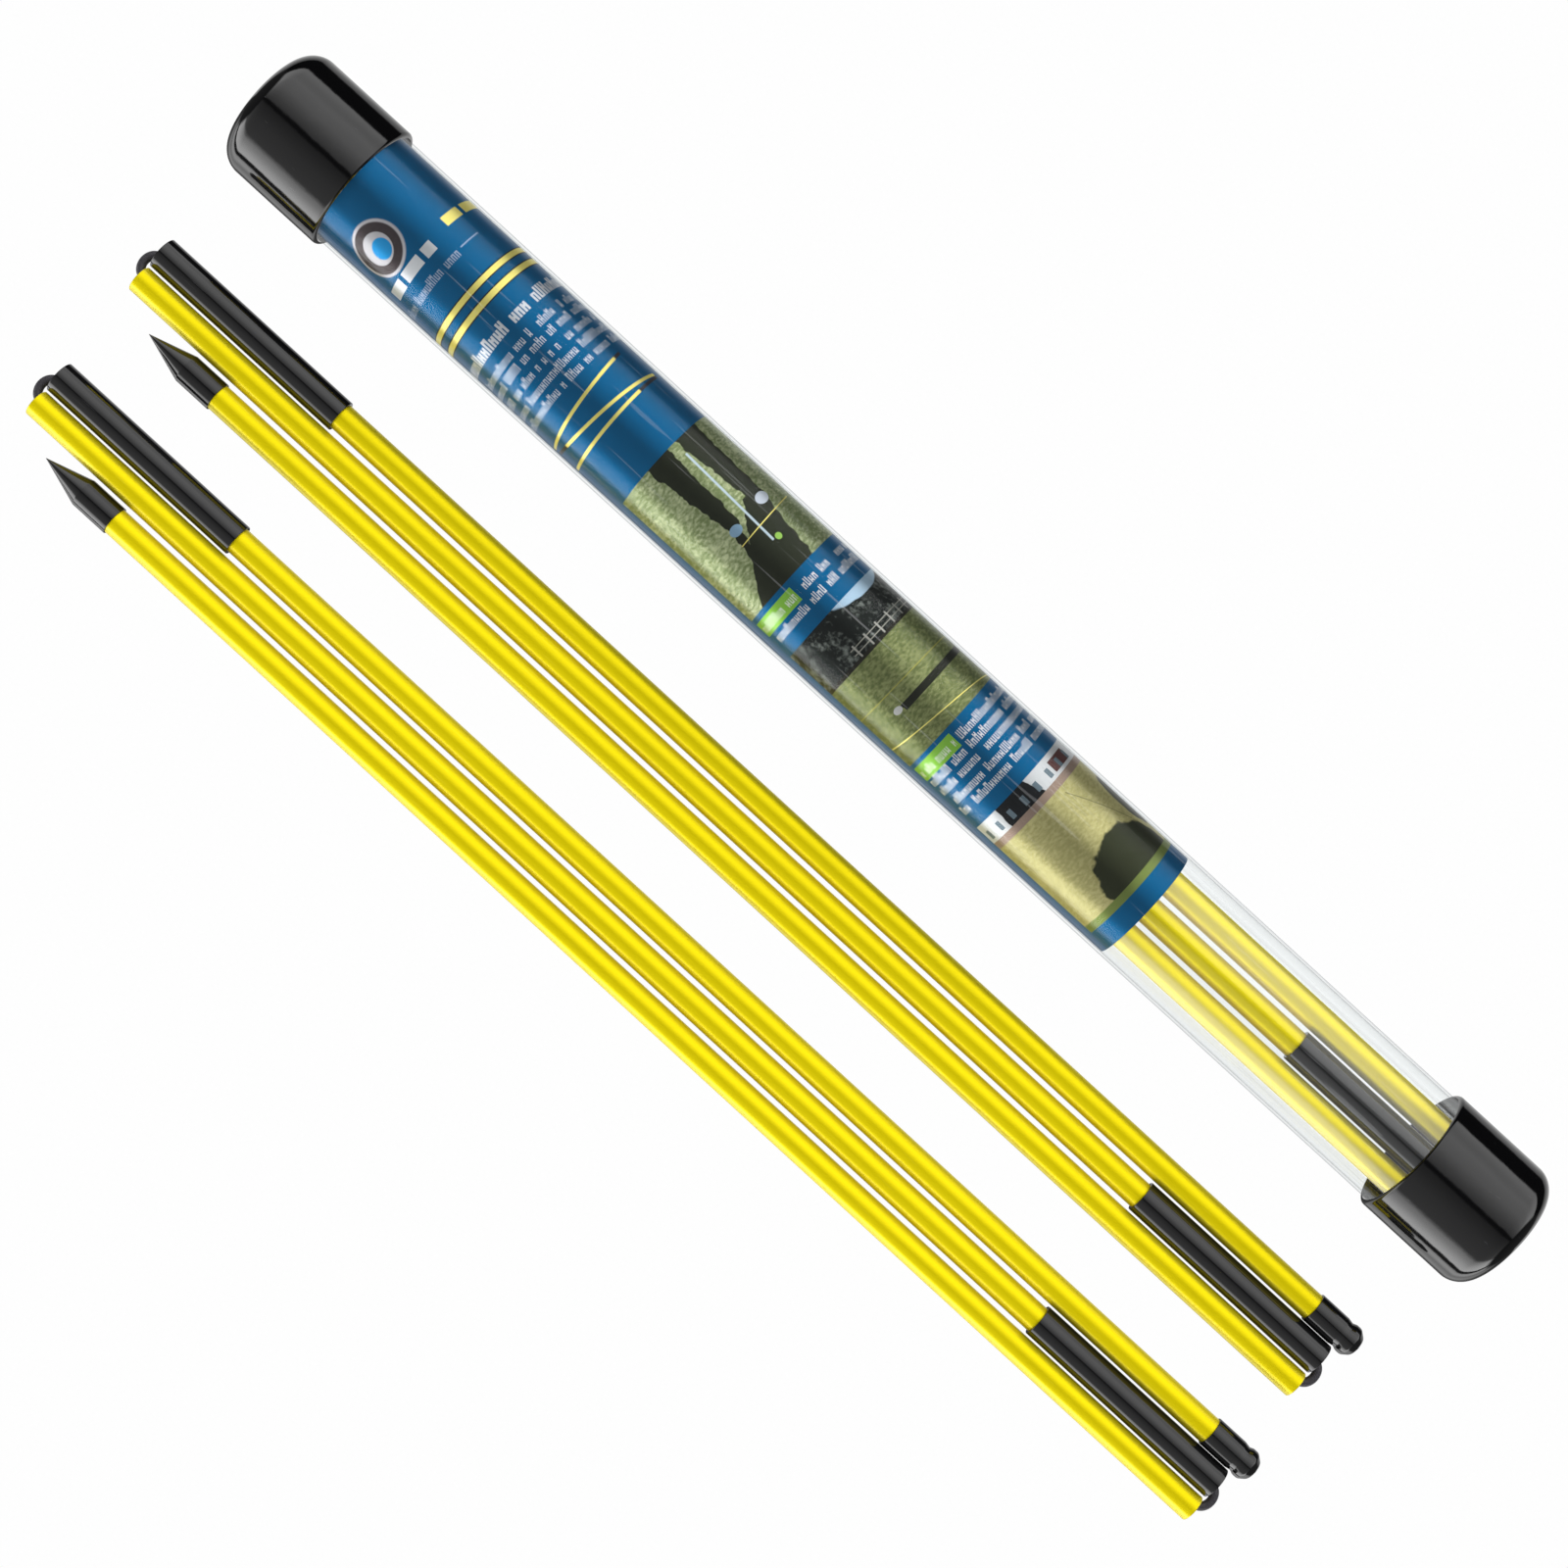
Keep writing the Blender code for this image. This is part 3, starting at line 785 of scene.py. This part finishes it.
def bend_route(node, outward):
    """The cord's U from a ferrule to the next rod's open end. outward is -1 or 1 along X."""
    low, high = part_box(node)
    middle = (low + high) / 2
    apex = high.x - CORD_RADIUS if outward > 0 else low.x + CORD_RADIUS
    mouth = apex - outward * CORD_REACH
    side = (high.y - low.y) / 2 - CORD_RADIUS
    depth = CORD_REACH + CORD_TURN_INSET
    start = apex - outward * depth
    points = []
    for i in range(BEND_STEPS + 1):
        angle = math.pi * i / BEND_STEPS
        points.append((start + outward * depth * math.sin(angle), CORD_HALF_WIDTH * math.cos(angle)))
    legs = []
    for i in range(LEG_STEPS):
        share = i / LEG_STEPS
        bow = (1 + math.cos(math.pi * (1 - share))) / 2
        x = mouth - outward * CORD_LEG * (1 - share)
        legs.append((x, side + (CORD_HALF_WIDTH - side) * bow))
    far = [(x, -y) for x, y in reversed(legs)]
    return [Vector((x, y + middle.y, middle.z)) for x, y in legs + points + far]


def make_bend(stick, fold, outward, material):
    """The cord where it turns from one rod to the next. Where the fold has a hinge, the piece gets a mesh of
    its own.
    """
    node = f"{stick}_{fold}_bend"
    mesh = swept(node, bend_route(node, outward), CORD_RADIUS, CORD_SIDES)
    piece = add_piece(node, mesh, Vector((0, 0, 0)), "elastic_cord", material)
    joint = f"{stick}_{fold}_fold_hinge"
    if joint in [j["name"] for j in frame["joints"]]:
        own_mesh(piece)


def make_stick(stick, looks):
    """One stick's visible pieces, and the cord's looks on its hidden CAD nodes."""
    for section in ("end", "middle", "point"):
        make_rod(f"{stick}_{section}_rod", looks["rod"])
    for section in ("end", "middle"):
        make_ferrule(f"{stick}_{section}_ferrule", f"{stick}_{section}_rod", looks["ferrule"])
    make_tip(f"{stick}_point_tip", f"{stick}_point_rod", looks["tip"])
    make_end_cap(f"{stick}_end_cap", f"{stick}_end_rod", looks["rubber"])
    make_bend(stick, "end", -1, looks["cord"])
    make_bend(stick, "point", 1, looks["cord"])
    for node in ("end_cord", "middle_cord", "point_cord", "end_knot", "point_knot"):
        inner = frame["nodes"][f"{stick}_{node}"]
        inner.data.materials.clear()
        inner.data.materials.append(looks["cord"])


# Pieces of the tube


def dome_side(radius, corner, dome):
    """A cap's closed end from its middle to its straight side, as (depth below the top, radius)."""
    middle = radius - corner
    lean = math.asin(middle / (dome - corner))
    shallow = dome - (dome - corner) * math.cos(lean)
    points = [(0.0, 0.0)]
    for i in range(1, DOME_STEPS + 1):
        angle = lean * i / DOME_STEPS
        points.append((dome * (1 - math.cos(angle)), dome * math.sin(angle)))
    for i in range(1, 2 * DOME_STEPS + 1):
        angle = lean + (math.pi / 2 - lean) * i / (2 * DOME_STEPS)
        points.append((shallow - corner * math.cos(angle), middle + corner * math.sin(angle)))
    return points


def make_tube_cap(node, outward, material):
    """A pull-off cap: domed end, straight side, and a rounded rim at its mouth."""
    left, right, centre, radius = spread(node, TUBE_SIDES)
    top, mouth = (right, left) if outward > 0 else (left, right)
    bore = radius - CAP_WALL
    outside = [(top - outward * depth, r) for depth, r in dome_side(radius, CAP_CORNER, CAP_DOME)]
    inner = dome_side(bore, CAP_CORNER - CAP_WALL, CAP_DOME - CAP_WALL)
    inside = [(top - outward * (CAP_END_WALL + depth), r) for depth, r in reversed(inner)]
    rim = rounded([
        (top, radius),
        (mouth, radius, CAP_LIP),
        (mouth, bore),
        (top, bore),
    ])[1:-1]
    mesh = turned(node, outside + rim + inside, TUBE_STEPS)
    add_piece(node, mesh, centre, "black_tube_cap", material)


def make_tube(material):
    """The clear tube, open at both ends."""
    left, right, centre, radius = spread("tube", TUBE_SIDES)
    bore = radius - TUBE_WALL
    outline = [(right, radius), (left, radius), (left, bore), (right, bore)]
    mesh = turned("tube", outline, TUBE_STEPS, ring=True)
    add_piece("tube", mesh, centre, "clear_tube", material)


def make_insert(printed, plain):
    """A rolled card inside the tube, printed on its outer side."""
    left, right, centre, radius = spread("tube_insert", TUBE_SIDES)
    bore = radius - INSERT_WALL
    outline = [(right, radius), (left, radius), (left, bore), (right, bore)]
    mesh = turned("tube_insert", outline, TUBE_STEPS, ring=True)
    add_piece("tube_insert", mesh, centre, "printed_insert", printed, plain)
    for face in mesh.polygons:
        middle = face.center
        outer = math.hypot(middle.y, middle.z) > (radius + bore) / 2
        face.material_index = 0 if outer and abs(face.normal.x) < 0.5 else 1


# Studio

CAMERA_HEIGHT = 0.800
CAMERA_SPOT = (0.00035, 0.0070)
CAMERA_TURN = 42.49  # degrees
LENS = 67.1  # millimetres
SENSOR = 36
CLIP_START = 0.01
FLOOR_RADIUS = 12.0
FLOOR_SEGMENTS = 96
FLOOR_DROP = 0.0001
BACKDROP = srgb(254, 254, 254)

# The light round the sticks' long axis, as (degrees from overhead towards +Y, brightness).
LIGHT_SCALE = 4.0
LIGHT_ENDS = (0.82, 0.90)  # how far along X, 0 to 1, the soft boxes start and finish fading out
BEYOND_ENDS = 0.02
LIGHT_BANDS = (
    (-180, 0.1), (-160, 0.15), (-148, 0.85), (-132, 0.85), (-122, 1.9), (-115, 1.9),
    (-112, 0.05), (-104, 0.05),
    (-102, 3.7), (-72, 3.2),
    (-64, 0.75), (-35, 0.6), (-8, 0.3),
    (-5, 0.05), (1, 0.05),
    (3, 0.7), (14, 1.1), (33, 2.0), (54, 2.35), (68, 1.86), (84, 1.45),
    (87, 0.01), (125, 0.01),
    (128, 0.38), (160, 0.8), (180, 0.9),
)


def light_ramp(graph, place, bands):
    """Brightness round the X axis. Place is 0 to 1, from -180 to 180 degrees."""
    ramp = graph.add("ShaderNodeValToRGB", {"Fac": place})
    stops = ramp.color_ramp.elements
    for stop, (degrees, brightness) in zip(list(stops), (bands[0], bands[-1])):
        stop.position = degrees / 360 + 0.5
        stop.color = (*[brightness / LIGHT_SCALE] * 3, 1.0)
    for degrees, brightness in bands[1:-1]:
        stop = stops.new(degrees / 360 + 0.5)
        stop.color = (*[brightness / LIGHT_SCALE] * 3, 1.0)
    return ramp.outputs[0]


def make_light():
    """Soft boxes as plain gradients: a large one on the +Y side, and a bright low one on the -Y side."""
    world = bpy.data.worlds.new("soft_studio")
    bpy.context.scene.world = world
    world.use_nodes = True
    graph = Graph(world.node_tree)
    direction = graph.add("ShaderNodeTexCoord").outputs["Generated"]
    parts = graph.add("ShaderNodeSeparateXYZ", {0: direction})
    turn = graph.maths("ARCTAN2", parts.outputs[1], parts.outputs[2])
    place = graph.maths("MULTIPLY_ADD", turn, 1 / math.tau, 0.5)
    ray = graph.add("ShaderNodeLightPath")
    light = light_ramp(graph, place, LIGHT_BANDS)
    past_end = graph.step(graph.maths("ABSOLUTE", parts.outputs[0]), *LIGHT_ENDS)
    lit = graph.mix(past_end, light, (*[BEYOND_ENDS] * 3, 1.0))
    boxes = graph.add("ShaderNodeBackground", {"Color": lit, "Strength": LIGHT_SCALE})
    backdrop = graph.add("ShaderNodeBackground", {"Color": BACKDROP, "Strength": 1.0})
    shaders = {0: ray.outputs["Is Camera Ray"], 1: boxes.outputs[0], 2: backdrop.outputs[0]}
    both = graph.add("ShaderNodeMixShader", shaders)
    graph.add("ShaderNodeOutputWorld", {"Surface": both.outputs[0]})


def make_floor():
    """A wide round sheet under the set. It is only a backdrop: it throws no light and takes no shadow."""
    shape = bmesh.new()
    bmesh.ops.create_circle(shape, cap_ends=True, segments=FLOOR_SEGMENTS, radius=FLOOR_RADIUS)
    mesh = bpy.data.meshes.new("floor")
    shape.to_mesh(mesh)
    shape.free()
    mesh.materials.append(seamless_paper())
    floor = bpy.data.objects.new("floor", mesh)
    bpy.context.scene.collection.objects.link(floor)
    floor.location.z = -FLOOR_DROP
    floor.visible_diffuse = False
    floor.visible_glossy = False
    floor.visible_shadow = False


def make_camera():
    """Straight above the set, turned so that the sticks lie across the picture's diagonal."""
    data = bpy.data.cameras.new("camera")
    data.lens = LENS
    data.sensor_width = SENSOR
    data.clip_start = CLIP_START
    camera = bpy.data.objects.new("camera", data)
    bpy.context.scene.collection.objects.link(camera)
    camera.location = (*CAMERA_SPOT, CAMERA_HEIGHT)
    camera.rotation_euler = (0, 0, math.radians(CAMERA_TURN))
    bpy.context.scene.camera = camera
    bpy.context.scene.view_settings.view_transform = "Standard"


def main():
    looks = {
        "rod": yellow_rod(),
        "ferrule": black_ferrule(),
        "tip": black_moulded("black_tip_plastic", 0.2, 0.02 * MM),
        "rubber": black_rubber(),
        "cord": braided_cord(),
    }
    for stick in STICKS:
        make_stick(stick, looks)
    insert_low, insert_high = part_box("tube_insert")
    cap_black = black_moulded("black_cap_vinyl", 0.10, 0.03 * MM)
    make_tube_cap("left_cap", -1, cap_black)
    make_tube_cap("right_cap", 1, cap_black)
    make_tube(clear_plastic(insert_low.x, insert_high.x))
    make_insert(printed_insert(), plain_card())
    make_light()
    make_floor()
    make_camera()


main()
